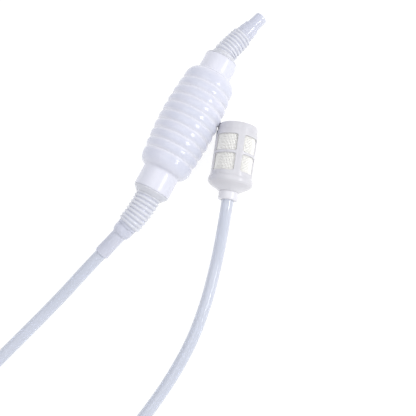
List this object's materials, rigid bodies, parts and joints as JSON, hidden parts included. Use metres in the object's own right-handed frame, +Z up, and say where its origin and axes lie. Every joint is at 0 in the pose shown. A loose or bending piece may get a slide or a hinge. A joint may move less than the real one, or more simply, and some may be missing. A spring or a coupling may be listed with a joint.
{
  "type": "gravel vacuum siphon",
  "caption": "Hand-squeezed bellows pump with one-way valves, flexible necks, a clear hose and a mesh strainer, for siphoning water and debris out of a tank.",
  "frame": {"origin": "on the floor under the middle of the pump (bulb, necks, socket and nozzle, without the hose and the strainer)", "axes": "+Y along the pump from its inlet to its outlet, +X to the pump's right, where the strainer lies, +Z up"},
  "size_m": [0.1728, 0.5301, 0.0489],
  "materials": {
    "bulb_plastic": "milky soft polyethylene, satin",
    "neck_plastic": "translucent, glossy",
    "hose_plastic": "clear soft PVC, glossy",
    "strainer_plastic": "translucent moulded, glossy",
    "strainer_mesh": "fine woven nylon",
    "valve_rubber": "soft matt silicone"
  },
  "bodies": {
    "hose_side": {"inlet_hose_socket": "neck_plastic", "hose_from_pump": "hose_plastic", "hose_coil": "hose_plastic", "hose_to_strainer": "hose_plastic", "strainer_base": "strainer_plastic", "strainer_hose_collar": "strainer_plastic", "strainer_hose_barb": "strainer_plastic"},
    "pump_inlet": {"bellows_bulb": "bulb_plastic", "inlet_neck_plug": "neck_plastic", "inlet_valve_seat": "neck_plastic", "inlet_valve_cage": "neck_plastic", "inlet_flex_neck": "neck_plastic"},
    "inlet_disc": {"inlet_valve_disc": "valve_rubber"},
    "pump_outlet": {"outlet_neck_plug": "neck_plastic", "outlet_valve_seat": "neck_plastic", "outlet_valve_cage": "neck_plastic", "outlet_flex_neck": "neck_plastic"},
    "outlet_disc": {"outlet_valve_disc": "valve_rubber"},
    "nozzle": {"outlet_nozzle": "neck_plastic"},
    "strainer_basket": {"strainer_cage": "strainer_plastic", "strainer_mesh_sleeve": "strainer_mesh", "strainer_end_cap": "strainer_plastic"}
  },
  "joints": [
    {"name": "inlet_neck_bend", "type": "hinge", "parent": "hose_side", "child": "pump_inlet", "pos_m": [0, -0.0772, 0.02445], "axis": [0, 0, 1], "range_deg": [0, 25], "deforming": ["inlet_flex_neck"]},
    {"name": "bulb_squeeze", "type": "slide", "parent": "pump_inlet", "child": "pump_outlet", "axis": [0, 1, 0], "range_m": [-0.022, 0], "stiffness_N_per_m": 1500, "deforming": ["bellows_bulb"]},
    {"name": "outlet_neck_bend", "type": "hinge", "parent": "pump_outlet", "child": "nozzle", "pos_m": [0.0029, 0.0879, 0.02445], "axis": [0, 0, 1], "range_deg": [-17, 54], "deforming": ["outlet_flex_neck"]},
    {"name": "inlet_valve_lift", "type": "slide", "parent": "pump_inlet", "child": "inlet_disc", "axis": [0, 1, 0], "range_m": [0, 0.003]},
    {"name": "outlet_valve_lift", "type": "slide", "parent": "pump_outlet", "child": "outlet_disc", "axis": [0, 1, 0], "range_m": [0, 0.003]},
    {"name": "strainer_cage_twist", "type": "hinge", "parent": "hose_side", "child": "strainer_basket", "pos_m": [0.04709, 0.00106, 0.0187], "axis": [-0.319, 0.9478, 0], "range_deg": [0, 90]}
  ]
}
